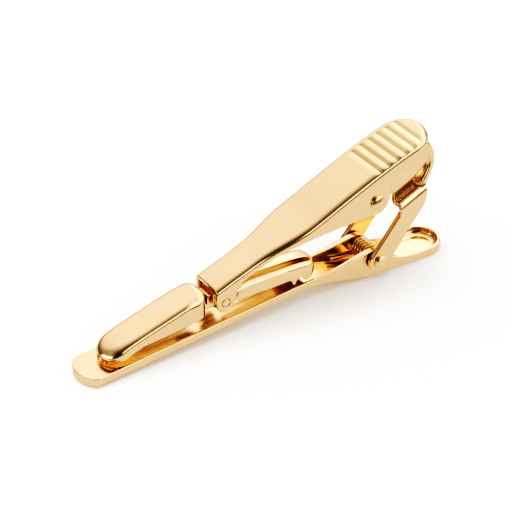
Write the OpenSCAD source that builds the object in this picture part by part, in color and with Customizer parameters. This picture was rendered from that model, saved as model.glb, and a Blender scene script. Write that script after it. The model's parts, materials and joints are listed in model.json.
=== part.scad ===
// Spring tie clip: a tray-shaped base bar with a dished tail, a pressing foot in two
// pieces, a channel-shaped lever with a ribbed thumb end, a bent yoke, three pins and
// a torsion spring.
// Millimetres, +Z up, +X towards the thumb end, Y across the clip. The origin is the
// middle of the clip's length, on the surface that it lies on.
// Shapes are drawn at stations measured from the bar's front corners, then shifted so
// that the origin falls in the middle.

/* [Base bar] */
// Half width of the bar along its straight front part
bar_hw = 3.05; // [2.95:0.05:3.1]
// How much the half width narrows from the front to the waist
bar_taper = 0.6; // [0.5:0.05:0.6]
// Height of the bar's front, underside to rim
rim_h = 1.28; // [1.2:0.02:1.32]
// Thickness of the tray's side walls
bar_wall = 0.4; // [0.35:0.05:0.4]
// Thickness of the tray's floor
bar_floor = 0.42; // [0.35:0.01:0.5]
// Upward slope of the straight front part's underside, rise over run
bar_slope = 0.0595; // [0.058:0.0005:0.061]
// How far the front edge bows forward
nose_bow = 1.4; // [0.8:0.1:1.6]
// Radius of the tail's round end
tail_r = 3.0; // [2.8:0.05:3.1]
// Width of the rim round the tail's dish
tail_rim = 0.8; // [0.6:0.05:1]
// Height of the rim round the tail's dish
tail_h = 1.25; // [1.1:0.05:1.35]

/* [Hinge] */
// Outer half width of the two hinge ears
ear_out = 2.7; // [2.65:0.01:2.72]
// Inner half width between the hinge ears
ear_in = 1.75; // [1.73:0.01:1.8]
// Radius of the hinge ears
ear_r = 1.5; // [1.4:0.05:1.6]
// Radius of the yoke pin
yoke_pin_r = 0.6; // [0.5:0.05:0.65]
// Radius of the yoke pin's domed heads
yoke_head_r = 1.05; // [0.9:0.05:1.15]

/* [Lever] */
// Sheet thickness of the lever
lever_t = 0.55; // [0.5:0.01:0.56]
// Half width of the lever at its front end
lever_hw0 = 2.5; // [2.45:0.05:2.5]
// Half width of the lever's thumb end
lever_hw1 = 3.6; // [3.56:0.02:3.66]
// Slope of the lever's top, degrees
lever_tilt = 21.2; // [21:0.1:21.4]
// Number of finger grooves across the thumb end
rib_count = 6; // [3:1:6]
// Pitch of the finger grooves
rib_pitch = 1.42; // [1.3:0.02:1.44]
// Depth of the finger grooves
rib_depth = 0.22; // [0.1:0.02:0.26]

/* [Yoke] */
// Sheet thickness of the yoke
yoke_t = 0.7; // [0.6:0.02:0.72]
// Thickness of the yoke's lower arms
arm_t = 0.85; // [0.75:0.05:0.85]
// Inner half width between the yoke's lower arms
arm_in = 2.8; // [2.78:0.01:2.85]
// Half width of a yoke arm seen from the side
arm_r = 1.62; // [1.5:0.02:1.66]
// Radius of the lever pin
lever_pin_r = 0.65; // [0.55:0.05:0.7]
// Radius of the lever pin's domed heads
lever_head_r = 1.1; // [0.95:0.05:1.2]

/* [Foot] */
// Half width of the foot's front cap
cap_hw = 2.4; // [2.36:0.01:2.45]
// Sheet thickness of the front cap
cap_t = 0.42; // [0.35:0.01:0.44]
// Sheet thickness of the foot's carrier
car_t = 0.4; // [0.35:0.01:0.42]
// Half width of the carrier behind the pivot
car_hw = 2.2; // [2.1:0.05:2.25]
// Radius of the foot pin
foot_pin_r = 0.6; // [0.5:0.05:0.6]

/* [Spring] */
// Radius of the spring wire
wire_r = 0.19; // [0.15:0.01:0.2]
// Mean radius of the spring's coils
coil_r = 1.26; // [1.2:0.02:1.3]
// Whole turns of the spring
coil_turns = 5; // [4:1:5]
// Distance between neighbouring coils
coil_pitch = 0.56; // [0.5:0.01:0.57]

/* [Hidden] */

run_fit = 0.04;                   // radial clearance of a pin that turns in its hole
snug_fit = 0.01;                  // radial clearance of a pin that is riveted fast
x_mid = 28.15;                    // station of the origin
z_low = -0.1;                     // height of the lying surface at the stations' zero

hinge = [45.25, 2.8];             // yoke pin, station and height
rivet = [44.3, 13.0];             // lever pin
pivot = [20.4, 5.16];             // foot pin
top0 = [18.97, 7.21];             // front edge of the lever's top
tail_c = 54.7;                    // centre of the tail's round end
gilt = [0.93, 0.74, 0.42];
gilt_deep = [0.86, 0.62, 0.28];
gilt_pale = [0.96, 0.82, 0.55];

function clamp01(t) = t < 0 ? 0 : t > 1 ? 1 : t;
function ease(t) = let (u = clamp01(t)) u * u * (3 - 2 * u);
// Cubic between two heights, with the slope that each end leaves with
function cubic(x, x0, z0, s0, x1, z1, s1) =
    let (w = x1 - x0, t = (x - x0) / w, a = t * t, b = a * t)
    (2 * b - 3 * a + 1) * z0 + (b - 2 * a + t) * w * s0 + (3 * a - 2 * b) * z1 + (b - a) * w * s1;

// Underside of the bar: straight, then down to the tail
under_0 = 0.08;
function under(x) = x < 32.6 ? under_0 + bar_slope * x
    : x > 47.2 ? z_low : cubic(x, 32.6, under_0 + 32.6 * bar_slope, bar_slope, 47.2, z_low, 0);
// Rim along the front part; the walls get lower towards the waist
rim_slope = 0.0535;
function rim(x) = under_0 + rim_h + rim_slope * x;
// Outer half width of the bar along its length
function waist(x) = bar_hw - bar_taper * (x < 36 ? x / 36 : 1);
function half_w(x) = waist(x) + (ear_out - waist(42)) * ease((x - 37) / 5)
    + (tail_r - ear_out) * ease((x - 47.4) / 5.6);
// Inner half width of the tray along its length
function half_in(x) = let (front = waist(x) - bar_wall, tail = tail_r - tail_rim)
    x < 45 ? front + (ear_in - front) * ease((x - 37) / 6.4)
    : ear_in + (tail - ear_in) * ease((x - 47.4) / 2.6);

module place() translate([-x_mid, 0, -z_low]) children();
// Side view outline, drawn as [station, height], centred across the clip
module side(half, pts) rotate([90, 0, 0]) linear_extrude(2 * half, center = true) polygon(pts);
// The same between two distances across, on both sides
module pair(y0, y1, pts) for (s = [0, 1]) mirror([0, s, 0])
    translate([0, y1, 0]) rotate([90, 0, 0]) linear_extrude(y1 - y0) polygon(pts);
// Round bar or bore across the clip
module across(at, r, half, n = 48) translate([at[0], 0, at[1]]) rotate([90, 0, 0])
    cylinder(r = r, h = 2 * half, center = true, $fn = n);
function arc(c, r, a0, a1, n) = [for (i = [0:n]) let (a = a0 + (a1 - a0) * i / n)
    [c[0] + r * cos(a), c[1] + r * sin(a)]];
// Outline that is the same on both sides of the middle, from its upper half
function both(up) = concat(up, [for (i = [len(up) - 1:-1:0]) [up[i][0], -up[i][1]]]);

// ---- base bar ----
nose_r = (bar_hw * bar_hw + nose_bow * nose_bow) / (2 * nose_bow);
nose_a = asin(bar_hw / nose_r);
module bar_outer_plan() polygon(both(concat(
    [for (i = [0:8]) let (a = 0.01 + (nose_a - 0.01) * i / 8)
        [nose_r - nose_bow - nose_r * cos(a), nose_r * sin(a)]],
    [for (x = [36:1:54]) [x, half_w(x)]],
    arc([tail_c, 0], tail_r, 88, 1, 14))));
module tray_plan() let (r = half_in(4.8), d = tail_r - tail_rim) polygon(both(concat(
    arc([2.2 + r, 0], r, 179, 90, 12),
    [for (x = [36:0.5:45]) [x, half_in(x)]], [for (x = [47:0.5:50.5]) [x, half_in(x)]],
    [[52, half_in(52)], [54, half_in(54)]],
    arc([tail_c, 0], d, 88, 1, 14))));
// Rim seen from the side: along the bar, over the ear, down to the tail
function rim_line() = concat(
    [[-2, rim(-2)]],
    [for (x = [37:0.75:43.75]) [x, cubic(x, 37, rim(37), rim_slope,
        hinge[0], hinge[1] + ear_r, 0.12)]],
    arc(hinge, ear_r, 100, 35, 8),
    [[46.95, 3.2], [47.3, 2.75], [47.8, 2.35], [48.4, 2.0], [49.0, 1.7], [49.8, 1.42],
     [50.8, tail_h - 0.02], [52, tail_h - 0.1], [58, tail_h - 0.1]]);
module base_bar() color(gilt) place() difference() {
    intersection() {
        translate([0, 0, -2]) linear_extrude(12) bar_outer_plan();
        side(6, concat(rim_line(),
            [[58, z_low]], [for (x = [47.2:-0.73:32.6]) [x, under(x)]], [[-2, under(-2)]]));
    }
    // tray and dish
    intersection() {
        translate([0, 0, -2]) linear_extrude(14) tray_plan();
        side(6, concat([[58, 9], [1, 9], [1, under(1) + bar_floor]],
            [for (x = [32.6:0.73:47.2]) [x, under(x) + bar_floor]], [[58, z_low + bar_floor]]));
    }
    across(hinge, yoke_pin_r + snug_fit, 4);
}

// ---- lever ----
// Frame on the lever's top: x along it from the front edge, z out of it
module on_top() translate([top0[0], 0, top0[1]]) rotate([0, -lever_tilt, 0]) children();
lever_u = 34.05;                  // centre of the thumb end's round
function lever_w(u) = lever_hw0 + (lever_hw1 - lever_hw0) * ease((u - 6.5) / 9.5);
module lever_plan(inset, front) let (r = lever_hw1 - inset) polygon(both(concat(
    [[front, lever_hw0 - inset]],
    [for (u = [6.5:1:16.5]) [u, lever_w(u) - inset]],
    arc([lever_u, 0], r, 90, 1, 20))));
module lever_arm() color(gilt) place() difference() {
    intersection() {
        on_top() translate([0, 0, -14]) linear_extrude(14) lever_plan(0, -3);
        side(6, concat(
            arc(pivot, 1.43, 180, 350, 14),
            [[22.05, 5.6], [22.4, 6.6], [23.1, 7.3], [26.1, 8.6], [28.7, 9.7], [31.2, 10.4],
             [33.5, 10.8], [36.8, 11.0], [40.4, 11.02], [43.4, 11.02]],
            arc(rivet, 2.08, 290, 338, 6),
            [[46.6, 13.2], [46.78, 14.4], [46.9, 15.4], [47.3, 16.2], [48.2, 16.75],
             [52.4, 18.45], [56, 19.9], [56, 24], [18.97, 9.5]]));
    }
    on_top() translate([0, 0, -14]) linear_extrude(14 - lever_t) lever_plan(lever_t, -5);
    for (i = [0:rib_count - 1]) on_top()
        translate([28.05 + rib_pitch * i, 0, 0.55 - rib_depth]) rotate([90, 0, 0])
            cylinder(r = 0.55, h = 9, center = true, $fn = 24);
    across(pivot, foot_pin_r + snug_fit, 5);
    across(rivet, lever_pin_r + snug_fit, 5);
}

// ---- yoke ----
wall_out = lever_hw1 - lever_t - 0.06;     // upper walls, just inside the lever's flanges
wall_in = wall_out - yoke_t;
arm_out = arm_in + arm_t;
function top_z(x) = top0[1] + (x - top0[0]) * tan(lever_tilt);
arm_a = 49.6;                              // lean of the arms from level
module yoke() color(gilt_deep) place() difference() {
    union() {
        // lower arms
        pair(arm_in, arm_out, concat(
            arc(hinge, arm_r, 90 + arm_a, 270 + arm_a, 18),
            [[50.5, 6.94], [51.6, 8.16], [52.32, 9.2], [52.72, 10.04], [52.85, 10.8], [52.74, 11.4],
             [52.55, 12.3], [52.4, 13.1],
             [48.85, 11.1], [48.9, 9.7]]));
        // steps from the arms in to the upper walls
        pair(wall_in, arm_out, [[48.86, 10.4], [52.7, 11.6], [52.55, 12.75], [52.3, 13.2], [48.85, 11.5]]);
        // upper walls
        pair(wall_in, wall_out, concat(
            [[48.86, 10.6], [48.7, 11.7], [48.2, 12.7], [47.4, 13.35], [46.4, 13.4]],
            arc(rivet, 1.8, -10, -180, 12),
            [[42.5, top_z(42.5) - 0.75], [52.2, 18.02], [53.3, 17.2], [53.6, 16.2], [53.0, 14.4],
             [52.3, 13.0], [52.6, 12.2]]));
        // web across the back, wide as the arms
        side(arm_out - 0.15, [[52.0, 12.6], [52.62, 12.5], [53.35, 13.9], [53.95, 15.3], [54.1, 16.3],
            [53.85, 17.3], [53.1, 18.35], [52.45, 18.1], [53.1, 17.2], [53.42, 16.3],
            [53.3, 15.4], [52.75, 14.2]]);
    }
    across(hinge, yoke_pin_r + run_fit, 5);
    across(rivet, lever_pin_r + snug_fit, 5);
}
// Catch on the near arm that the spring's long leg pulls on
module spring_catch() color(gilt_deep) place()
    translate([48.84, -arm_in - 0.1, 5.73]) rotate([0, -52, 0]) cube([1.0, 1.3, 0.45], center = false);

// ---- foot ----
cap_slope = 0.266;
function cap_z(x) = 4.15 + cap_slope * (x - 4.2);
cap_tilt = atan(cap_slope);
module cap_plan(inset) polygon(both(concat(
    arc([4.45, 0], cap_hw - inset, 179, 90, 14),
    arc([16.15, cap_hw - 1.75], 1.75 - inset, 90, 2, 10))));
module foot_cap() color(gilt_pale) place() difference() {
    intersection() {
        translate([0, 0, 1]) linear_extrude(9) cap_plan(0);
        side(5, [[1.9, 2.62], [3.6, 2.62], [4.0, 2.2], [4.6, 2.13], [6.5, 2.35], [6.9, 2.55],
            [7.2, 3.06], [17.9, 4.4], [17.9, 7.0],
            [17.7, 7.4], [17.2, 7.58], [16.4, cap_z(16.4) - 0.02], [4.2, cap_z(4.2)], [3.1, 3.8],
            [2.4, 3.4], [1.9, 2.95]]);
    }
    // way out for the carrier's neck
    translate([17.0, -neck_in - 0.05, 2]) cube([2, 2 * neck_in + 0.1, 4.62]);
    intersection() {
        translate([0, 0, 1]) linear_extrude(9) cap_plan(cap_t);
        side(5, [[1, 1], [19, 1], [19, 6.3], [17.7, 6.8], [17.1, 7.05], [16.4, cap_z(16.4) - 0.5],
            [4.2, cap_z(4.2) - 0.5], [3.2, 3.3], [2.2, 2.85], [1, 2.4]]);
    }
}
// Carrier: a channel with its flanges down, narrow between the lever's lugs. Its front
// fills the cap and ends in a toe plate, its rear is a pad with a round end.
car_in = cap_hw - cap_t - 0.04;            // half width inside the cap
neck_hw = 1.85;                            // half width between the lever's lugs
neck_in = 1.2;                             // half width through the cap's rear
module carrier_plan(inset) polygon(both(concat(
    arc([4.7, 0], car_in - inset, 179, 90, 12),
    [[14.6, car_in - inset], [15.4, neck_in - inset], [18.2 + inset / 2, neck_in - inset],
     [18.5 + inset / 2, neck_hw - inset], [22.35, neck_hw - inset],
     [22.75, car_hw - inset]],
    arc([33.9, 0], car_hw - inset, 88, 1, 16))));
module foot_carrier() color(gilt) place() difference() {
    union() {
        intersection() {
            translate([0, 0, 1]) linear_extrude(9) carrier_plan(0);
            side(5, [[2.2, 2.05], [5, 2.2], [7.6, 2.5], [7.9, 3.2], [17.4, 4.3], [20.4, 3.78],
                [22.4, 3.95], [23.4, 4.3], [31.0, 4.36], [31.35, 4.0], [31.6, 3.42], [32.1, 3.42],
                [32.35, 4.0], [32.7, 4.24], [33.05, 4.0], [33.3, 3.42], [34.5, 3.42], [35.4, 3.7],
                [36.2, 4.4], [36.2, 5.35], [35.9, 5.7], [35.3, 5.93], [33, 6.3], [28.3, 6.73],
                [23.6, 6.95], [22.7, 6.5], [17.3, 6.5], [16.6, 6.72], [16.2, cap_z(16.2) - 0.62],
                [5.2, cap_z(5) - 0.62], [3.4, 3.0], [2.2, 2.45]]);
        }
        // toe plate, wide as the cap
        intersection() {
            translate([0, 0, 1]) linear_extrude(4) polygon(both(concat(
                arc([4.6, 0], cap_hw - 0.1, 179, 120, 8), [[3.5, 1.9], [3.8, 1.7], [3.9, 0.5]])));
            side(5, [[2, 2.04], [5, 2.2], [5, 2.58], [2, 2.46]]);
        }
    }
    // hollow under the top, open below behind the toe
    intersection() {
        translate([0, 0, 1]) linear_extrude(9) carrier_plan(car_t);
        side(5, [[4.6, 2.2 + car_t], [7.5, 2.5 + car_t], [7.6, 1.5], [37, 1.5], [37, 5.1], [35.3, 5.45],
            [33, 5.85], [28.3, 6.28], [23.6, 6.5], [22.9, 6.08], [17.3, 6.08],
            [16.2, 6.1], [5.6, cap_z(5.2) - 1.05], [4.6, 2.75]]);
    }
    across(pivot, foot_pin_r + run_fit, 4);
}

// ---- pins ----
module dome(r, h) intersection() {
    translate([0, 0, h - (r * r + h * h) / (2 * h)]) sphere(r = (r * r + h * h) / (2 * h), $fn = 48);
    cylinder(r = r, h = h + 1, $fn = 48);
}
module two_headed(at, r, half, head_r, head_h) translate([at[0], 0, at[1]]) {
    rotate([90, 0, 0]) cylinder(r = r, h = 2 * half, center = true, $fn = 48);
    for (s = [0, 1]) mirror([0, s, 0]) translate([0, -half, 0]) rotate([90, 0, 0]) union() {
        cylinder(r = head_r, h = 0.18, $fn = 48);
        translate([0, 0, 0.18]) dome(head_r, head_h);
    }
}
module foot_pin() color(gilt_deep) place() across(pivot, foot_pin_r, lever_hw0 + 0.03);
module lever_pin() color(gilt_pale) place()
    two_headed(rivet, lever_pin_r, lever_hw1 + 0.01, lever_head_r, 0.42);
module yoke_pin() color(gilt_pale) place()
    two_headed(hinge, yoke_pin_r, arm_out + 0.05, yoke_head_r, 0.4);

// ---- torsion spring ----
// Short leg forward on the tray's floor, coils round the yoke pin, long leg up the yoke
leg1_a = 262;
leg2_a = 322 + 360 * coil_turns;
coil_half = (coil_turns + 60 / 360) * coil_pitch / 2;
coil_n = 18 * coil_turns + 3;
function on_coil(i) = let (f = i / coil_n, a = leg1_a + (leg2_a - leg1_a) * f)
    [hinge[0] + coil_r * cos(a), coil_half - 2 * coil_half * f, hinge[1] + coil_r * sin(a)];
spring_path = let (p0 = on_coil(0), p1 = on_coil(coil_n)) concat(
    [[p0[0] - 4.6, p0[1], p0[2] + 0.66], [p0[0] - 2.3, p0[1], p0[2] + 0.33]],
    [for (i = [0:coil_n]) on_coil(i)],
    [[p1[0] + 1.4, p1[1] - 0.05, p1[2] + 1.79], [p1[0] + 2.8, p1[1] - 0.05, p1[2] + 3.58],
     [p1[0] + 3.6, p1[1] - 0.05, p1[2] + 4.6]]);
function unit(v) = v / norm(v);
module tube(path, r, n) let (
        last = len(path) - 1,
        rings = [for (i = [0:last]) let (
            t = unit(path[min(i + 1, last)] - path[max(i - 1, 0)]),
            b = unit(cross(t, [0, 1, 0])),
            c = cross(b, t))
            for (k = [0:n - 1]) path[i] + r * (cos(360 * k / n) * b + sin(360 * k / n) * c)])
    polyhedron(points = rings, faces = concat(
        [[for (k = [0:n - 1]) k]],
        [for (i = [0:last - 1], k = [0:n - 1])
            [i * n + k, (i + 1) * n + k, (i + 1) * n + (k + 1) % n, i * n + (k + 1) % n]],
        [[for (k = [n - 1:-1:0]) last * n + k]]), convexity = 10);
module torsion_spring() color(gilt_deep) place() tube(spring_path, wire_r, 8);

base_bar();
lever_arm();
union() { yoke(); spring_catch(); }
foot_carrier();
foot_cap();
foot_pin();
lever_pin();
yoke_pin();
torsion_spring();
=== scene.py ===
# Spring tie clip: every visible piece is built here as a smooth surface with rounded sheet edges.
import json, math
import bpy, bmesh
import numpy as np
from mathutils import Matrix, Vector


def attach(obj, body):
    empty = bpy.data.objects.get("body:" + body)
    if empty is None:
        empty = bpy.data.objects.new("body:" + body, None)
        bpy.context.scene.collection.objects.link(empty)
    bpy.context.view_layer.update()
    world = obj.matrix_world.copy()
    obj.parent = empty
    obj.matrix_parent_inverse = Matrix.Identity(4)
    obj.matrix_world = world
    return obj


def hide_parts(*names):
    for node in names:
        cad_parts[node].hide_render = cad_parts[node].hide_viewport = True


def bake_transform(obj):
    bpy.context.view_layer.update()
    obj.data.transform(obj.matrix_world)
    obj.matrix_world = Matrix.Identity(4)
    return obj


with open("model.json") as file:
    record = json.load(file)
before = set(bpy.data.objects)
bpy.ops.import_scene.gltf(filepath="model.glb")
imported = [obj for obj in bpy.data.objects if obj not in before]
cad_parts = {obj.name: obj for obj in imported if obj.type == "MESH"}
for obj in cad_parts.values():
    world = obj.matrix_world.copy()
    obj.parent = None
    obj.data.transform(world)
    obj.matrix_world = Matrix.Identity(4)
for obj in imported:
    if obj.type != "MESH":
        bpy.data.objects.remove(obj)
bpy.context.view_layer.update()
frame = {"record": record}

X_MID, Z_LOW = 28.15, -0.1       # stations along the clip (mm) are shifted by these into the row frame
MM = 0.001


# ------------------------------------------------------------------ fields
def rmax(a, b, r):
    """Both at once, with the outer edge between them rounded to r."""
    u = np.maximum(a + r, 0.0); v = np.maximum(b + r, 0.0)
    return np.minimum(np.maximum(a, b), -r) + np.sqrt(u * u + v * v)


def rmin(a, b, r):
    """Either of two, with a fillet r in the inner corner."""
    u = np.maximum(r - a, 0.0); v = np.maximum(r - b, 0.0)
    return np.maximum(np.minimum(a, b), r) - np.sqrt(u * u + v * v)


def ease(t):
    t = np.clip(t, 0.0, 1.0)
    return t * t * t * (t * (6 * t - 15) + 10)


def ramp(d, a, b, k):
    """0 below -a, 1 above b, straight between, with bends of about k."""
    return 0.5 + (np.sqrt((d + a) ** 2 + k * k) - np.sqrt((d - b) ** 2 + k * k)) / (2 * (a + b))


def curve(points, step=0.12):
    """A smooth line through the points (centripetal), resampled."""
    p = np.array(points, float)
    p = np.vstack([2 * p[0] - p[1], p, 2 * p[-1] - p[-2]])
    out = []
    for i in range(1, len(p) - 2):
        a, b, c, d = p[i - 1:i + 3]
        t0 = 0.0
        t1 = t0 + max(np.linalg.norm(b - a), 1e-6) ** 0.5
        t2 = t1 + max(np.linalg.norm(c - b), 1e-6) ** 0.5
        t3 = t2 + max(np.linalg.norm(d - c), 1e-6) ** 0.5
        n = max(1, int(math.ceil(np.linalg.norm(c - b) / step)))
        for t in np.linspace(t1, t2, n, endpoint=False):
            a1 = (t1 - t) / (t1 - t0) * a + (t - t0) / (t1 - t0) * b
            a2 = (t2 - t) / (t2 - t1) * b + (t - t1) / (t2 - t1) * c
            a3 = (t3 - t) / (t3 - t2) * c + (t - t2) / (t3 - t2) * d
            b1 = (t2 - t) / (t2 - t0) * a1 + (t - t0) / (t2 - t0) * a2
            b2 = (t3 - t) / (t3 - t1) * a2 + (t - t1) / (t3 - t1) * a3
            out.append((t2 - t) / (t2 - t1) * b1 + (t - t1) / (t2 - t1) * b2)
    out.append(p[-2])
    return [tuple(q) for q in out]


def arc(c, r, a0, a1, n):
    return [(c[0] + r * math.cos(math.radians(a0 + (a1 - a0) * i / n)),
             c[1] + r * math.sin(math.radians(a0 + (a1 - a0) * i / n))) for i in range(n + 1)]


def distance(px, py, poly, closed=True):
    """Distance to a line, negative inside it if it is closed."""
    p = np.array(poly, float)
    a = p if closed else p[:-1]
    b = np.roll(p, -1, 0) if closed else p[1:]
    best = np.full(px.shape, 1e18); inside = np.zeros(px.shape, bool)
    for (ax, ay), (bx, by) in zip(a, b):
        ex, ey = bx - ax, by - ay
        l2 = ex * ex + ey * ey
        if l2 < 1e-14:
            continue
        wx, wy = px - ax, py - ay
        t = np.clip((wx * ex + wy * ey) / l2, 0, 1)
        best = np.minimum(best, (wx - t * ex) ** 2 + (wy - t * ey) ** 2)
        if closed and abs(ey) > 1e-12:
            inside ^= ((ay > py) != (by > py)) & (px < ex * (py - ay) / ey + ax)
    d = np.sqrt(best)
    return np.where(inside, -d, d) if closed else d


class Plane:
    """Distance to an outline, held on a grid and read back through a cubic B-spline, so that it is smooth."""
    def __init__(self, poly, box, h=0.1, closed=True):
        self.h, (self.x0, self.y0, x1, y1) = h, box
        self.x0 -= 2 * h; self.y0 -= 2 * h
        nx, ny = int((x1 - self.x0) / h) + 5, int((y1 - self.y0) / h) + 5
        gx, gy = np.meshgrid(self.x0 + h * np.arange(nx), self.y0 + h * np.arange(ny), indexing="ij")
        self.g = distance(gx, gy, poly, closed)

    def __call__(self, x, y):
        x, y = np.broadcast_arrays(x, y)
        nx, ny = self.g.shape
        u = np.clip((x - self.x0) / self.h, 1.0, nx - 3.001); v = np.clip((y - self.y0) / self.h, 1.0, ny - 3.001)
        i, j = u.astype(np.int64), v.astype(np.int64)
        s, t = u - i, v - j

        def w(q):
            return ((1 - q) ** 3 / 6, (3 * q ** 3 - 6 * q ** 2 + 4) / 6, (-3 * q ** 3 + 3 * q ** 2 + 3 * q + 1) / 6, q ** 3 / 6)
        ws, wt = w(s), w(t)
        out = 0.0
        for a in range(4):
            row = 0.0
            for b in range(4):
                row = row + wt[b] * self.g[i + a - 1, j + b - 1]
            out = out + ws[a] * row
        return out


# ------------------------------------------------------------------ surfaces
def gradient(f, p, e):
    g = np.empty_like(p)
    for k in range(3):
        q = p.copy(); q[:, k] += e; a = f(q[:, 0], q[:, 1], q[:, 2])
        q[:, k] -= 2 * e; b = f(q[:, 0], q[:, 1], q[:, 2])
        g[:, k] = (a - b) / (2 * e)
    return g


def settle(f, p, times=2, e=0.01):
    """Moves points onto the surface."""
    for _ in range(times):
        g = gradient(f, p, e)
        v = f(p[:, 0], p[:, 1], p[:, 2])
        s = np.clip(v / np.maximum((g * g).sum(1), 0.2), -0.08, 0.08)
        p = p - g * s[:, None]
    return p


def nets(f, box, h):
    """Points and faces of the surface f = 0 in a box, on a grid of pitch h."""
    (x0, y0, z0), (x1, y1, z1) = box
    ax = [np.arange(a, b + h, h) for a, b in ((x0, x1), (y0, y1), (z0, z1))]
    v = np.broadcast_to(f(ax[0][:, None, None], ax[1][None, :, None], ax[2][None, None, :]),
                        tuple(len(a) for a in ax)).astype(np.float32)
    s = v < 0
    nx, ny, nz = v.shape
    count = np.zeros((nx - 1, ny - 1, nz - 1), np.uint8)
    for i in (0, 1):
        for j in (0, 1):
            for k in (0, 1):
                count += s[i:nx - 1 + i, j:ny - 1 + j, k:nz - 1 + k]
    cells = np.argwhere((count > 0) & (count < 8))
    index = np.full(count.shape, -1, np.int64)
    index[tuple(cells.T)] = np.arange(len(cells))
    total, number = np.zeros((len(cells), 3)), np.zeros(len(cells))
    corner = [(i, j, k) for i in (0, 1) for j in (0, 1) for k in (0, 1)]
    for a in corner:
        for d in range(3):
            if a[d]:
                continue
            b = list(a); b[d] = 1
            va = v[tuple((cells + a).T)]; vb = v[tuple((cells + b).T)]
            m = (va < 0) != (vb < 0)
            t = np.where(m, va / np.where(m, va - vb, 1), 0)
            q = np.array(a, float)[None, :] + np.zeros((len(cells), 3)); q[:, d] = t
            total[m] += q[m]; number[m] += 1
    points = np.array([x0, y0, z0]) + h * (cells + total / number[:, None])
    faces = []
    for d in range(3):
        a, b = [(1, 2), (2, 0), (0, 1)][d]
        lo = [slice(None)] * 3; hi = [slice(None)] * 3
        lo[d], hi[d] = slice(0, -1), slice(1, None)
        sa, sb = s[tuple(lo)], s[tuple(hi)]
        e = np.argwhere(sa != sb)
        e = e[(e[:, a] > 0) & (e[:, b] > 0) & (e[:, a] < v.shape[a] - 1) & (e[:, b] < v.shape[b] - 1)]
        up = sa[tuple(e.T)]
        c = []
        for da, db in ((-1, -1), (0, -1), (0, 0), (-1, 0)):
            q = e.copy(); q[:, a] += da; q[:, b] += db
            c.append(index[tuple(q.T)])
        c = np.stack(c, 1)
        c[~up] = c[~up][:, ::-1]
        faces.append(c)
    return points, np.concatenate(faces)


def skin(name, f, box, to_row, h=0.1, keep=0.4, soft=0.02):
    """A piece whose surface is f = 0, with its shading taken from the field itself."""
    p, q = nets(f, box, h)
    p = settle(f, p)
    me = bpy.data.meshes.new(name)
    me.from_pydata(p, [], q)
    me.validate()
    o = bpy.data.objects.new(name, me)
    bpy.context.scene.collection.objects.link(o)
    if keep < 1:
        thin = o.modifiers.new("thin", "DECIMATE"); thin.ratio = keep
        done = bpy.data.meshes.new_from_object(o.evaluated_get(bpy.context.evaluated_depsgraph_get()))
        o.modifiers.clear(); o.data = done
        bpy.data.meshes.remove(me); me = done; me.name = name
        p = np.zeros(len(me.vertices) * 3); me.vertices.foreach_get("co", p)
        p = settle(f, p.reshape(-1, 3), 2)
    n = gradient(f, p, soft)
    n /= np.maximum(np.linalg.norm(n, axis=1), 1e-9)[:, None]
    m, t = to_row
    p = (p @ m.T + t) * MM
    n = n @ m.T
    me.vertices.foreach_set("co", p.astype(np.float32).ravel())
    me.polygons.foreach_set("use_smooth", np.ones(len(me.polygons), bool))
    me.update()
    me.normals_split_custom_set_from_vertices([tuple(v) for v in n])
    return o


STATION = (np.eye(3), np.array([-X_MID, 0.0, -Z_LOW]))
HINGE, RIVET, PIVOT = (45.25, 2.8), (44.3, 13.0), (20.4, 5.16)


# ------------------------------------------------------------------ base bar
TAIL_C, TAIL_R, EAR_OUT, EAR_IN, BAR_HW = 54.8, 3.1, 2.7, 1.75, 3.05


def cubic(x, x0, z0, s0, x1, z1, s1):
    w = x1 - x0; t = (x - x0) / w; a = t * t; b = a * t
    return (2 * b - 3 * a + 1) * z0 + (b - 2 * a + t) * w * s0 + (3 * a - 2 * b) * z1 + (b - a) * w * s1


def under(x):
    return np.where(x < 32.6, 0.08 + 0.0595 * x, np.where(x > 47.2, Z_LOW, cubic(x, 32.6, 0.08 + 32.6 * 0.0595, 0.0595, 47.2, Z_LOW, 0)))


def waist(x):
    return BAR_HW - 0.6 * (x - 0.5 * (x - 36 + np.sqrt((x - 36) ** 2 + 4.0))) / 36


def half_w(x):
    return waist(x) + (EAR_OUT - waist(42.0)) * ease((x - 36.5) / 6) + (TAIL_R - EAR_OUT) * ease((x - 47.2) / 6)


def half_in(x):
    front, tail = waist(x) - 0.4, TAIL_R - 0.5
    return np.where(x < 45, front + (EAR_IN - front) * ease((x - 36.5) / 7),
                    EAR_IN + (tail - EAR_IN) * ease((x - 47.2) / 3.2))


rim_line = curve([(-3, 1.2), (10, 1.895), (20, 2.43), (30, 2.965), (36, 3.286), (39.5, 3.56), (42.5, 4.02), (44.2, 4.26)]
                 + arc(HINGE, 1.5, 92, 42, 4)
                 + [(46.85, 3.3), (47.3, 2.78), (47.9, 2.28), (48.7, 1.86), (49.8, 1.54), (51.2, 1.36), (53, 1.3), (60, 1.3)])
BAR_TOP = Plane(rim_line + [(60, -5), (-3, -5)], (-3, -3, 60, 8), 0.1)
BAR_LOW = Plane([(x, float(under(x))) for x in np.arange(-3, 60.1, 0.25)] + [(60, 9), (-3, 9)], (-3, -3, 60, 8), 0.1)


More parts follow.
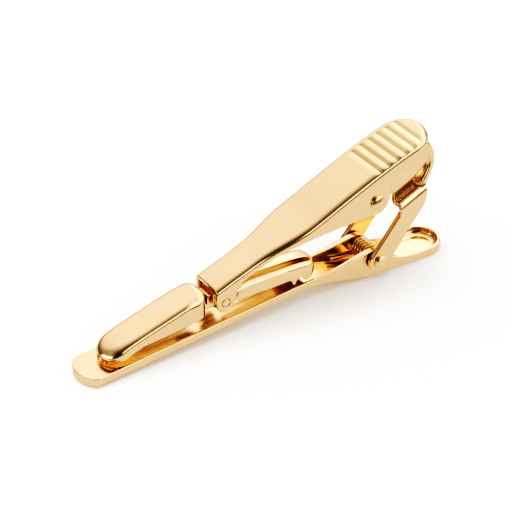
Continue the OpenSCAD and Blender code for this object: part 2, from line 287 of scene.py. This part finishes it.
def bar(x, y, z):
    ya = np.abs(y)
    nose_r = (BAR_HW ** 2 + 1.4 ** 2) / 2.8
    plan = np.where(x < TAIL_C, ya - half_w(x), np.hypot(x - TAIL_C, y) - TAIL_R)
    plan = rmax(plan, np.where(x < 6, np.hypot(x - (nose_r - 1.4), y) - nose_r - np.maximum(x - 2.0, 0) * 3, -1.5), 0.35)
    front_c, front_r, dish_r = 4.8, BAR_HW - 0.6 * 4.8 / 36 - 0.4, TAIL_R - 0.5
    hole = np.where(x < front_c, np.hypot(x - front_c, y) - front_r,
                    np.where(x < TAIL_C, ya - half_in(x), np.hypot(x - TAIL_C, y) - dish_r))
    tail = ease((x - 47.5) / 3)
    hole = rmax(hole, under(x) + 0.42 - 0.1 * tail + 0.06 * (y + np.sqrt(y * y + 0.09)) * (1 - tail) - z, 0.22 + 0.63 * tail)
    f = rmax(plan, BAR_TOP(x, z), 0.13 + 0.09 * tail)
    f = rmax(f, BAR_LOW(x, z), 0.32)
    f = rmax(f, -hole, 0.1 + 0.08 * tail)
    return rmax(f, -(np.hypot(x - HINGE[0], z - HINGE[1]) - 0.63), 0.06)


# ------------------------------------------------------------------ lever
TILT = math.radians(21.2)
TOP0 = (18.97, 7.21)
CT, ST = math.cos(TILT), math.sin(TILT)
LEVER_U, LEVER_R, LEVER_T = 33.85, 3.8, 0.55


def to_lever(points):
    return [((x - TOP0[0]) * CT + (z - TOP0[1]) * ST, -(x - TOP0[0]) * ST + (z - TOP0[1]) * CT) for x, z in points]


flange = (arc(PIVOT, 1.43, 180, 350, 20)
          + curve([(21.9, 5.05), (22.02, 5.6), (22.4, 6.6), (23.1, 7.35), (24.5, 8.0), (26.1, 8.62), (28.7, 9.68), (31.2, 10.4),
                   (33.5, 10.8), (36.8, 11.0), (40.4, 11.02), (43.4, 11.02), (44.5, 10.93)], 0.2)[1:-1]
          + arc(RIVET, 2.08, 275, 335, 8)
          + curve([(46.28, 12.4), (46.6, 13.3), (46.78, 14.4), (46.92, 15.35), (47.35, 16.12), (48.2, 16.72), (50.2, 17.55), (52.4, 18.45), (57, 20.35)], 0.2)
          + [(60, 30), (18.97, 12)])
LEVER_SIDE = Plane(to_lever(flange), (-3, -8, 41, 2), 0.1)
lug = to_lever([PIVOT])[0]
riv = to_lever([RIVET])[0]


RIB_0, RIB_P, RIB_N, RIB_D = 27.76, 1.49, 6, 0.17


def ribs(u):
    """Height of the thumb's saw-tooth ribs: a straight ramp up from each groove, a round crest and a curved fall to the next."""
    s = u - RIB_0 + RIB_P
    i = np.clip(np.floor(s / RIB_P), 0, RIB_N)
    s = s - i * RIB_P
    up = np.where(i < 0.5, 1.0, 0.28 * s - RIB_D)
    t = np.maximum(s - 0.68, 0) / (RIB_P - 0.68)
    down = np.where(i > RIB_N - 0.5, 0.0, -RIB_D * (0.45 * t + 0.55 * t * t))
    return -rmax(-up, -down, 0.05)


BOW = np.array(curve([(-4, 0.3), (0, 0.25), (3, 0.18), (6, 0.06), (9.5, 0.0), (13, 0.0), (16.5, 0.02), (20, 0.15), (24, 0.26), (28, 0.3), (31, 0.24),
                      (33.5, 0.08), (35.5, -0.12), (37.5, -0.36), (40, -0.7)], 0.25))


def lever(u, y, n):
    half = 2.6 + 1.2 * ease((u - 5.5) / 11.2)
    n = n - np.interp(u, BOW[:, 0], BOW[:, 1])
    plan = np.where(u < LEVER_U, np.abs(y) - half, np.hypot(u - LEVER_U, y) - LEVER_R)
    far = ease((y + 1.5) / 3.0)
    edge = 0.76 + 0.08 * ease((u - 8) / 14) - far * (0.16 + 0.14 * ease((u - 18) / 10))
    top = n - ribs(u) * (1 - ease((np.abs(y) - np.where(y > 0, 2.7, 3.25)) / 0.5))
    cap = rmax(plan, top, edge)
    f = rmax(cap, -(rmax(plan, n + 0.0 * u, edge) + LEVER_T), 0.05)
    n = n + np.interp(u, BOW[:, 0], BOW[:, 1])
    f = rmax(f, LEVER_SIDE(u, n), 0.13)
    f = rmax(f, -(np.hypot(u - lug[0], n - lug[1]) - 0.66), 0.07)
    return rmax(f, -(np.hypot(u - riv[0], n - riv[1]) - 0.68), 0.05)


LEVER = (np.array([[CT, 0, -ST], [0, 1, 0], [ST, 0, CT]]), np.array([TOP0[0] - X_MID, 0.0, TOP0[1] - Z_LOW]))

# ------------------------------------------------------------------ yoke
ARM_OUT, WALL_OUT = 3.65, 3.08
arm_side = (arc(HINGE, 1.62, 139.6, 319.6, 40)
            + curve([(46.48, 1.75), (48.2, 3.86), (49.6, 5.62), (50.5, 6.9), (51.7, 8.2), (52.5, 9.2), (52.92, 10.1), (53.08, 10.85),
                     (53.14, 11.5), (53.0, 12.2), (53.02, 12.9), (53.38, 13.7), (53.75, 14.6), (53.98, 15.4), (54.05, 16.2),
                     (53.75, 17.1), (53.4, 17.9), (52.9, 18.5)], 0.2)[1:]
            + [(42.5, 15.6)]
            + arc(RIVET, 1.8, 180, 350, 16)
            + curve([(46.2, 13.5), (47.0, 13.48), (47.55, 12.9), (47.95, 12.35), (48.32, 11.63), (48.5, 11.0), (48.62, 10.3),
                     (48.72, 9.75), (48.55, 9.25), (48.0, 8.55), (46.9, 7.2), (44.6, 4.45)], 0.2))
ARM = Plane(arm_side, (41, -1, 56, 20), 0.1)
WEB = Plane(curve([(52.55, 12.3), (52.95, 13.2), (53.45, 14.1), (53.85, 15.1), (54.0, 16.1), (53.88, 17.0), (53.6, 17.8), (53.2, 18.5), (52.8, 19.0)], 0.1),
            (41, -1, 56, 20), 0.1, closed=False)


def yoke(x, y, z):
    ya = np.abs(y)
    d = (x - 48.86) * -0.4024 + (z - 11.0) * 0.9155
    shoulder = (ya - ARM_OUT) * 0.906 + (d + 0.82) * 0.423
    step = (ya - ARM_OUT + 0.38) * -0.2 + d * 0.98
    arm = rmax(rmax(ya - ARM_OUT, shoulder, 0.12), step, 0.08)
    lean = np.clip(4.4 - d, 0, 4.4)
    side = ease((WEB(x, z) - 0.3) / 0.6)
    cheek = (ya - WALL_OUT - 0.06 * (1 - side) + 0.048 * lean ** 2) * 0.95
    outer = rmin(arm, cheek, 0.2)
    sheet = rmax(outer, -(outer + 0.72), 0.05)
    f = rmax(sheet, ARM(x, z), 0.15)
    web = rmax(WEB(x, z) - 0.42, ya - 3.32, 0.22)
    f = rmin(f, web, 0.12)
    # catch for the spring's long leg on the near arm
    cx, cz = x - 48.84, z - 5.73
    a = cx * 0.6157 + cz * 0.788; b = -cx * 0.788 + cz * 0.6157
    catch = np.maximum(np.maximum(np.abs(a - 0.5) - 0.42, np.abs(b - 0.225) - 0.145), np.abs(y + 2.2) - 0.62) - 0.08
    f = rmin(f, catch, 0.12)
    f = rmax(f, -(np.hypot(x - HINGE[0], z - HINGE[1]) - 0.66), 0.06)
    return rmax(f, -(np.hypot(x - RIVET[0], z - RIVET[1]) - 0.68), 0.05)


# ------------------------------------------------------------------ foot
CAP_HW, CAP_T, CAP_SLOPE = 2.5, 0.42, 0.266
CAP_C = 1 / math.sqrt(1 + CAP_SLOPE ** 2)
cap_low = curve([(-1, 2.62), (2.0, 2.62), (3.2, 2.6), (3.8, 2.3), (4.3, 2.12), (4.8, 2.17), (5.5, 2.5), (6.2, 2.82), (6.7, 3.07), (7.1, 3.17),
                 (7.7, 3.2), (9.0, 3.27), (10.7, 3.36), (12.3, 3.48), (13.9, 3.63), (16, 3.86), (18.3, 4.14), (21, 4.5)], 0.15)
CAP_LOW = Plane(cap_low + [(21, 12), (-1, 12)], (0, 0, 20, 10), 0.08)


def cap_shape(x, y, z):
    yy = np.abs(y)
    rear = np.where((x > 16.15) & (yy > CAP_HW - 1.75), np.hypot(x - 16.15, yy - CAP_HW + 1.75) - 1.75, np.where(x > 16.15, x - 17.9, yy - CAP_HW))
    plan = np.where(x < 4.4, np.hypot(x - 4.4, y) - CAP_HW, rear)
    top = (z - (4.15 + CAP_SLOPE * (x - 4.2)) + 0.03 * np.maximum(5.5 - x, 0) ** 2) * CAP_C
    return rmax(plan, top, 0.8 + 0.3 * ease((7.5 - x) / 5) + 0.45 * ease((x - 14) / 3))


def foot_cap(x, y, z):
    c = cap_shape(x, y, z)
    f = rmax(c, -(c + CAP_T), 0.05)
    f = rmax(f, CAP_LOW(x, z), 0.12)
    gate = np.maximum(np.maximum(16.9 - x, np.abs(y) - 1.27), z - 6.62)
    return rmax(f, -gate, 0.1)


pad_low = (curve([(-1, 1.75), (2.2, 2.06), (5, 2.2), (7.0, 2.42)], 0.3) + [(7.75, 2.6), (7.9, 3.24)]
           + curve([(15.0, 3.95), (17.2, 4.25), (18.6, 4.18), (20.4, 4.16), (22.2, 4.42), (24.5, 4.37), (26.9, 4.3), (29.4, 4.23), (31.05, 4.2),
                    (31.35, 4.0), (31.5, 3.6), (31.68, 3.3), (31.9, 3.3), (32.1, 3.6), (32.4, 4.05), (32.86, 4.24), (33.25, 3.98), (33.5, 3.6), (33.85, 3.4),
                    (34.4, 3.45), (35.1, 3.8), (36.2, 4.5), (38, 5.4)], 0.1))
pad_top = (curve([(38.5, 2.5), (37.0, 4.5), (36.2, 5.5), (35.3, 6.05), (34, 6.38), (32, 6.6), (29.5, 6.7), (27, 6.76), (24.6, 6.8), (23.4, 6.7),
                  (22.3, 6.5), (21.2, 6.5), (20.0, 6.42)], 0.2) + [(19.35, 6.32), (18.5, 6.2), (18.3, 6.0), (18.25, 5.05), (18.1, 5.0), (16.45, 5.0), (16.25, 5.15), (16.1, 6.2), (15.7, 6.5)]
           + curve([(10, 5.06), (5.2, 3.78), (3.4, 3.1), (-1, 1.9)], 0.3))
PAD_LOW = Plane(pad_low + [(38, 12), (-1, 12)], (1, 0, 38, 9), 0.1)
PAD_TOP = Plane(pad_top + [(-1, -5), (39, -5)], (1, 0, 38, 9), 0.1)


def foot_carrier(x, y, z):
    yy = np.abs(y)
    half = np.where(x < 17, 1.94 + (1.2 - 1.94) * ease((x - 14.5) / 1.0), 1.2 + 0.65 * ease((x - 19.2) / 0.3) + 0.35 * ease((x - 21.85) / 0.9))
    plan = np.where(x < 4.7, np.hypot(x - 4.7, y) - 1.94, np.where(x < 33.9, yy - half, np.hypot(x - 33.9, y) - 2.2))
    pad = ease((x - 19.4) / 2.4)
    bevel = (yy - 2.16) * 0.94 + (PAD_TOP(x, z) + 1.1) * 0.342 - 2 * (1 - pad)
    cover = rmax(rmax(plan, bevel, 0.45), PAD_TOP(x, z), 0.12 + 0.88 * pad)
    f = rmax(cover, -(cover + 0.41), 0.05)
    f = rmax(f, PAD_LOW(x, z), 0.11)
    wide = 1.2 + 0.7 * (1 - ease((x - 14.0) / 0.8)) + 0.8 * ease((x - 22.3) / 0.6)
    core = rmax(yy - wide, PAD_LOW(x, z) + 0.06, 0.15)
    core = rmax(core, np.maximum(x - 31.0, 7.4 - x), 0.3)
    f = rmin(f, np.maximum(core, PAD_TOP(x, z) + 0.8), 0.05)
    sole = np.maximum(np.maximum(plan, x - 7.5), np.abs(z - (2.44 + 0.055 * (x - 5))) - 0.2)
    f = rmin(f, rmax(sole, PAD_LOW(x, z), 0.08), 0.08)
    toe = rmax(np.hypot(x - 4.6, y) - 2.3, np.abs(z - (2.28 + 0.05 * (x - 3.6))) - 0.2, 0.14)
    f = rmin(f, rmax(toe, x - 3.7, 0.1), 0.05)
    return rmax(f, -(np.hypot(x - PIVOT[0], z - PIVOT[1]) - 0.64), 0.05)


# ------------------------------------------------------------------ turned and coiled pieces
def turned(name, at, profile, n=64):
    """A round piece across the clip. The profile gives (radius, place across) from one end to the other."""
    bm = bmesh.new()
    rings = []
    for r, y in profile:
        if r < 1e-6:
            rings.append([bm.verts.new((at[0], y, at[1]))])
        else:
            rings.append([bm.verts.new((at[0] + r * math.cos(2 * math.pi * k / n), y, at[1] + r * math.sin(2 * math.pi * k / n))) for k in range(n)])
    for a, b in zip(rings, rings[1:]):
        for k in range(n):
            v = [a[k % len(a)], a[(k + 1) % len(a)], b[(k + 1) % len(b)], b[k % len(b)]]
            w = []
            for q in v:
                if q not in w:
                    w.append(q)
            bm.faces.new(w)
    bmesh.ops.recalc_face_normals(bm, faces=bm.faces)
    for v in bm.verts:
        v.co = Vector(((v.co.x - X_MID) * MM, v.co.y * MM, (v.co.z - Z_LOW) * MM))
    for f in bm.faces:
        f.smooth = True
    me = bpy.data.meshes.new(name)
    bm.to_mesh(me); bm.free()
    o = bpy.data.objects.new(name, me)
    bpy.context.scene.collection.objects.link(o)
    return o


def fillet(r, y0, y1, e, n=6):
    """Profile points round the outer edge at radius r between an end at y0 and the side that runs to y1."""
    s = 1 if y1 > y0 else -1
    return [(r - e + e * math.sin(math.pi / 2 * i / n), y0 + s * (e - e * math.cos(math.pi / 2 * i / n))) for i in range(n + 1)]


def headed(half, r, head_r, base, height):
    """Profile of a rivet with a domed head at each end."""
    R = (head_r ** 2 + height ** 2) / (2 * height)
    top = half + base + height
    amax = math.asin(min(1.0, head_r / R))
    dome = [(R * math.sin(amax * i / 18), top - R + R * math.cos(amax * i / 18)) for i in range(19)]
    dome = [q for q in dome if q[0] < head_r - 0.09]
    e = 0.1
    rim = [(head_r - e + e * math.sin(a), half + base - 0.02 - e + e * math.cos(a)) for a in np.linspace(0.75, math.pi / 2, 6)]
    side = dome + rim + [(head_r, half + 0.06), (head_r - 0.04, half), (r + 0.02, half), (r, half - 0.02)]
    left = [(a, -b) for a, b in side]
    return left + [(a, b) for a, b in reversed(side)]


def coil(name):
    """The torsion spring: a leg on the tray's floor, the coils round the pin, a leg up to the yoke's catch."""
    r, wire, turns, pitch = 1.26, 0.19, 5, 0.56
    a1, a2 = 262.0, 322.0 + 360.0 * turns
    half = (turns + 1 / 6) * pitch / 2
    n = 40 * turns
    on = lambda t: np.array([HINGE[0] + r * math.cos(math.radians(a1 + (a2 - a1) * t)), half - 2 * half * t,
                             HINGE[1] + r * math.sin(math.radians(a1 + (a2 - a1) * t))])
    p0, p1 = on(0), on(1)
    path = [p0 + np.array(d) * 1.0 for d in np.linspace([-4.6, 0, 0.66], [-0.25, 0, 0.036], 14)]
    path += [on(i / n) for i in range(n + 1)]
    path += [p1 + np.array(d) for d in np.linspace([0.2, -0.007, 0.256], [3.6, -0.05, 4.6], 16)]
    path = np.array(path)
    for _ in range(2):
        path[1:-1] = 0.25 * path[:-2] + 0.5 * path[1:-1] + 0.25 * path[2:]
    t = np.gradient(path, axis=0); t /= np.linalg.norm(t, axis=1)[:, None]
    b = np.cross(t, [0, 1, 0]); b /= np.linalg.norm(b, axis=1)[:, None]
    c = np.cross(b, t)
    m = 20
    ang = 2 * np.pi * np.arange(m) / m
    ring = path[:, None] + wire * (np.cos(ang)[None, :, None] * b[:, None] + np.sin(ang)[None, :, None] * c[:, None])
    caps = []
    for end, way in ((0, -1), (len(path) - 1, 1)):
        caps.append([path[end] + way * t[end] * wire * 0.55 * math.sin(q) + wire * math.cos(q) * (np.cos(ang)[:, None] * b[end] + np.sin(ang)[:, None] * c[end])
                     for q in np.radians([30, 55, 75])])
    rings = list(reversed(caps[0])) + list(ring) + caps[1]
    v = np.concatenate([np.array(q) for q in rings])
    k = len(rings)
    f = [(i * m + j, i * m + (j + 1) % m, (i + 1) * m + (j + 1) % m, (i + 1) * m + j) for i in range(k - 1) for j in range(m)]
    f += [tuple(range(m)), tuple(reversed([(k - 1) * m + j for j in range(m)]))]
    me = bpy.data.meshes.new(name)
    me.from_pydata((v - [X_MID, 0, Z_LOW]) * MM, [], f)
    me.validate()
    bm = bmesh.new(); bm.from_mesh(me); bmesh.ops.recalc_face_normals(bm, faces=bm.faces); bm.to_mesh(me); bm.free()
    for q in me.polygons:
        q.use_smooth = True
    o = bpy.data.objects.new(name, me)
    bpy.context.scene.collection.objects.link(o)
    return o


# ------------------------------------------------------------------ the pieces
made = {}
made["base_bar"] = skin("base_tray", bar, ((-1.7, -3.4, -0.4), (58.2, 3.4, 4.6)), STATION, 0.1, 0.45)
made["lever_arm"] = skin("lever_sheet", lever, ((-1.2, -4.05, -7.2), (38.0, 4.05, 0.6)), LEVER, 0.1, 0.45)
made["yoke"] = skin("yoke_sheet", yoke, ((42.2, -3.95, 0.9), (54.8, 3.95, 19.5)), STATION, 0.1, 0.45)
made["foot_cap"] = skin("foot_cover", foot_cap, ((1.8, -2.7, 1.9), (18.3, 2.7, 8.1)), STATION, 0.1, 0.45)
made["foot_carrier"] = skin("foot_rocker", foot_carrier, ((2.0, -2.5, 1.8), (36.5, 2.5, 7.3)), STATION, 0.1, 0.45)
flush = lambda h, r: [(0, -h)] + fillet(r, -h, 0, 0.1) + list(reversed([(a, -b) for a, b in fillet(r, -h, 0, 0.1)])) + [(0, h)]
made["foot_pin"] = turned("foot_pivot", PIVOT, flush(2.6, 0.6))
made["lever_pin"] = turned("lever_rivet", RIVET, headed(3.81, 0.65, 1.08, 0.27, 0.3))
made["yoke_pin"] = turned("yoke_rivet", HINGE, headed(3.7, 0.6, 0.98, 0.27, 0.28))
made["torsion_spring"] = coil("spring_coil")

BODY = {n: b for b, ns in frame["record"]["behaviour"]["bodies"].items() for n in ns}
for node, o in made.items():
    if node != "torsion_spring":
        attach(o, BODY[node])
    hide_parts(node)
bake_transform(made["torsion_spring"])


# ------------------------------------------------------------------ finish of the metal
def metal(name, tint, rough, scale, line=None):
    m = bpy.data.materials.new(name); m.use_nodes = True
    t = m.node_tree; N, L = t.nodes, t.links
    b = N["Principled BSDF"]
    b.inputs["Metallic"].default_value = 1.0
    co = N.new("ShaderNodeTexCoord")
    mp = N.new("ShaderNodeMapping"); L.new(co.outputs["Object"], mp.inputs[0])
    mp.inputs["Scale"].default_value = (scale, scale, scale)
    n1 = N.new("ShaderNodeTexNoise"); L.new(mp.outputs[0], n1.inputs["Vector"])
    n1.inputs["Scale"].default_value = 1.0; n1.inputs["Detail"].default_value = 4.0; n1.inputs["Roughness"].default_value = 0.55
    cr = N.new("ShaderNodeValToRGB"); L.new(n1.outputs["Fac"], cr.inputs[0])
    cr.color_ramp.elements[0].position = 0.3; cr.color_ramp.elements[1].position = 0.7
    cr.color_ramp.elements[0].color = (tint[0] * 0.97, tint[1] * 0.955, tint[2] * 0.92, 1)
    cr.color_ramp.elements[1].color = (*tint, 1)
    L.new(cr.outputs[0], b.inputs["Base Color"])
    mr = N.new("ShaderNodeMapRange"); L.new(n1.outputs["Fac"], mr.inputs[0])
    mr.inputs["From Min"].default_value = 0.3; mr.inputs["From Max"].default_value = 0.7
    mr.inputs["To Min"].default_value = rough * 0.88; mr.inputs["To Max"].default_value = rough * 1.12
    L.new(mr.outputs[0], b.inputs["Roughness"])
    n2 = N.new("ShaderNodeTexNoise")
    m2 = N.new("ShaderNodeMapping"); L.new(co.outputs["Object"], m2.inputs[0])
    m2.inputs["Scale"].default_value = line or (scale * 6, scale * 6, scale * 6)
    L.new(m2.outputs[0], n2.inputs["Vector"]); n2.inputs["Scale"].default_value = 1.0; n2.inputs["Detail"].default_value = 3.0
    bp = N.new("ShaderNodeBump"); L.new(n2.outputs["Fac"], bp.inputs["Height"])
    bp.inputs["Strength"].default_value = 0.25; bp.inputs["Distance"].default_value = 0.0000025
    L.new(bp.outputs[0], b.inputs["Normal"])
    return m


SHEET = metal("plated_sheet_gold", (0.95, 0.74, 0.47), 0.17, 420)
RIVETS = metal("plated_rivet_gold", (0.95, 0.745, 0.48), 0.24, 900)
WIRE = metal("plated_wire_gold", (0.90, 0.70, 0.42), 0.2, 900, (1500, 9000, 1500))
for node, o in made.items():
    o.data.materials.clear()
    o.data.materials.append(WIRE if node == "torsion_spring" else RIVETS if node.endswith("_pin") else SHEET)

# ------------------------------------------------------------------ camera
A, E, D = math.radians(-34.57), math.radians(34.04), 0.3217
target = Vector(((26.96 - X_MID) * MM, 0.0, (8.74 - Z_LOW) * MM))
back = Vector((math.sin(A) * math.cos(E), -math.cos(A) * math.cos(E), math.sin(E)))
cam = bpy.data.cameras.new("camera"); cam.lens = 168.75; cam.sensor_width = 36; cam.clip_start = 0.01; cam.clip_end = 20
cam_o = bpy.data.objects.new("camera", cam); bpy.context.scene.collection.objects.link(cam_o)
right = Vector((math.cos(A), math.sin(A), 0)); up = back.cross(right)
cam_o.matrix_world = Matrix(((right.x, up.x, back.x, 0), (right.y, up.y, back.y, 0), (right.z, up.z, back.z, 0), (0, 0, 0, 1)))
cam_o.location = target + back * D
bpy.context.scene.camera = cam_o

# ------------------------------------------------------------------ floor and light
def flat(name, size, at):
    me = bpy.data.meshes.new(name)
    x, y = size[0] / 2, size[1] / 2
    me.from_pydata([(-x, -y, 0), (x, -y, 0), (x, y, 0), (-x, y, 0)], [], [(0, 1, 2, 3)])
    o = bpy.data.objects.new(name, me); bpy.context.scene.collection.objects.link(o)
    o.location = at
    return o


floor = flat("floor", (3.0, 3.0), (0, 0, 0))
fm = bpy.data.materials.new("floor_paper"); fm.use_nodes = True
fb = fm.node_tree.nodes["Principled BSDF"]
fb.inputs["Base Color"].default_value = (0.86, 0.86, 0.855, 1); fb.inputs["Roughness"].default_value = 0.9
fb.inputs["Specular IOR Level"].default_value = 0.1
floor.data.materials.append(fm)


def lamp(name, energy, size, at, aim=(0, 0, 0.008), color=(1, 1, 1), glossy=True):
    l = bpy.data.lights.new(name, "AREA"); l.energy = energy; l.shape = "RECTANGLE"
    l.size, l.size_y = size; l.color = color
    o = bpy.data.objects.new(name, l); bpy.context.scene.collection.objects.link(o)
    o.location = at; o.visible_glossy = glossy
    d = Vector(aim) - Vector(at)
    o.rotation_euler = d.to_track_quat("-Z", "Y").to_euler()
    return o


# What the metal sees of the table, seen only in reflections: a sheet round the clip that glows, a painted reflection of
# a lit table without shadows, and a dark apron beyond it, a painted dark reflection
def reflected_ground(name, points, faces, colour, painted_glow, z):
    me = bpy.data.meshes.new(name)
    me.from_pydata([(x, y, 0) for x, y in points], [], faces)
    o = bpy.data.objects.new(name, me); bpy.context.scene.collection.objects.link(o)
    o.location.z = z
    m = bpy.data.materials.new(name); m.use_nodes = True
    b = m.node_tree.nodes["Principled BSDF"]
    b.inputs["Base Color"].default_value = (*colour, 1); b.inputs["Roughness"].default_value = 0.9; b.inputs["Specular IOR Level"].default_value = 0.1
    # painted light: the sheet emits so that the metal reflects it as a brightly lit table
    b.inputs["Emission Color"].default_value = (*PAINTED_GLOW_TINT, 1); b.inputs["Emission Strength"].default_value = painted_glow
    me.materials.append(m)
    o.visible_camera = o.visible_diffuse = o.visible_shadow = o.visible_transmission = False


# warm tint of the painted light that the reflection-only sheet emits
PAINTED_GLOW_TINT = (1, 0.88, 0.83)
near = [(-0.085, -0.011), (-0.025, -0.012), (-0.005, -0.017), (0.022, -0.034), (0.085, -0.038), (0.085, 0.055), (-0.085, 0.055)]
far = [(-1.4, -1.4), (-0.025, -1.4), (-0.005, -1.4), (0.022, -1.4), (1.4, -1.4), (1.4, 1.4), (-1.4, 1.4)]
# the sheet that glows: a painted reflection of the lit table round the clip, seen only in the metal
reflected_ground("sheet", near, [tuple(range(7))], (0.21, 0.185, 0.175), 0.47, 0.00001)
# the apron: a dark sheet seen only in reflections, a painted dark reflection beyond the clip
reflected_ground("apron", near + far, [(i, 7 + i, 7 + (i + 1) % 7, (i + 1) % 7) for i in range(7)], (0.10, 0.088, 0.08), 0.0, 0.00001)
floor.visible_glossy = False

lamp("key", 5.6, (1.1, 1.1), (-0.16, 0.18, 1.0), glossy=False)

world = bpy.data.worlds.new("studio"); bpy.context.scene.world = world; world.use_nodes = True
wt = world.node_tree; N, L = wt.nodes, wt.links
N.clear()
co = N.new("ShaderNodeTexCoord"); sx = N.new("ShaderNodeSeparateXYZ"); L.new(co.outputs["Generated"], sx.inputs[0])
X, Y, Z = sx.outputs


def rise(v, a, b):
    """0 where v is at a, 1 where it is at b, smooth between."""
    m = N.new("ShaderNodeMapRange"); m.interpolation_type = "SMOOTHSTEP"; L.new(v, m.inputs[0])
    m.inputs["From Min"].default_value, m.inputs["From Max"].default_value = min(a, b), max(a, b)
    if a > b:
        m.inputs["To Min"].default_value, m.inputs["To Max"].default_value = 1.0, 0.0
    return m.outputs[0]


def calc(op, a, b):
    m = N.new("ShaderNodeMath"); m.operation = op
    for q, v in zip(m.inputs, (a, b)):
        if isinstance(v, (int, float)):
            q.default_value = v
        else:
            L.new(v, q)
    return m.outputs[0]


def times(*v):
    out = v[0]
    for q in v[1:]:
        out = calc("MULTIPLY", out, q)
    return out


def blend_to(a, b, mask):
    """a where the mask is 0, b where it is 1."""
    m = N.new("ShaderNodeMix"); m.data_type = "FLOAT"; L.new(mask, m.inputs[0])
    for q, v in ((m.inputs[2], a), (m.inputs[3], b)):
        if isinstance(v, (int, float)):
            q.default_value = v
        else:
            L.new(v, q)
    return m.outputs[0]


def levels(v, lo, hi, stops):
    """A smooth line of levels over v. The levels may go past 1."""
    u = N.new("ShaderNodeMapRange"); L.new(v, u.inputs[0]); u.inputs["From Min"].default_value = lo; u.inputs["From Max"].default_value = hi
    r = N.new("ShaderNodeValToRGB"); L.new(u.outputs[0], r.inputs[0]); e = r.color_ramp.elements
    while len(e) < len(stops):
        e.new(0.5)
    for q, (x, w) in zip(e, stops):
        q.position = (x - lo) / (hi - lo); q.color = (w / 2, w / 2, w / 2, 1)
    r.color_ramp.interpolation = "EASE"
    return calc("MULTIPLY", r.outputs[0], 2.0)


# the big soft box behind, brighter to the right
back_light = times(levels(X, -1, 1, [(-1, 0.33), (-0.52, 0.36), (-0.33, 0.5), (-0.17, 0.64), (-0.03, 0.87), (0.13, 0.93), (0.27, 1.05), (0.40, 1.08),
                                     (0.46, 1.35), (0.58, 1.7), (0.75, 1.5), (1, 1.0)]),
                   levels(Z, -0.2, 1, [(-0.2, 0.25), (0.0, 0.3), (0.2, 0.4), (0.35, 0.55), (0.5, 0.9), (0.6, 1.0), (0.8, 1.0), (1, 0.92)]))
# the camera's side: dark up from the horizon, open to the right
front_light = times(levels(Y, -1, 0.1, [(-1, 0.10), (-0.72, 0.12), (-0.53, 0.28), (-0.26, 0.50), (0.0, 0.80), (0.1, 0.9)]),
                    levels(X, -1, 0.2, [(-1, 0.5), (-0.5, 0.35), (-0.2, 0.6), (0.05, 1.0), (0.2, 1.0)]))
right_open = rise(X, 0.10, 0.30)
front_light = blend_to(front_light, 1.05, right_open)
low_card = times(rise(X, -0.04, 0.10), rise(Z, 0.40, 0.26), rise(Z, -0.03, 0.02))
front_light = blend_to(front_light, 1.35, low_card)
total = blend_to(front_light, back_light, rise(Y, -0.05, 0.12))
left_card = times(rise(X, -0.80, -0.90), rise(Z, 0.40, 0.28), rise(Z, -0.03, 0.02))
total = blend_to(total, 1.6, left_card)
seen = N.new("ShaderNodeBackground"); seen.inputs[0].default_value = (1, 0.88, 0.83, 1); L.new(total, seen.inputs[1])
fill = N.new("ShaderNodeBackground"); fill.inputs[0].default_value = (1, 0.995, 0.985, 1); fill.inputs[1].default_value = 0.82
lp = N.new("ShaderNodeLightPath"); ms = N.new("ShaderNodeMixShader")
L.new(lp.outputs["Is Glossy Ray"], ms.inputs[0]); L.new(fill.outputs[0], ms.inputs[1]); L.new(seen.outputs[0], ms.inputs[2])
wo = N.new("ShaderNodeOutputWorld"); L.new(ms.outputs[0], wo.inputs[0])

view = bpy.context.scene.view_settings
view.view_transform = "Standard"
view.use_curve_mapping = True
tone = view.curve_mapping
tone.use_clip = False
line = tone.curves[3].points
for x, y in [(0.07, 0.013), (0.13, 0.075), (0.18, 0.155), (0.31, 0.43), (0.45, 0.62), (0.59, 0.768), (0.72, 0.875), (0.83, 0.95)]:
    line.new(x, y)
for q in line:
    q.handle_type = "AUTO_CLAMPED"
tone.update()
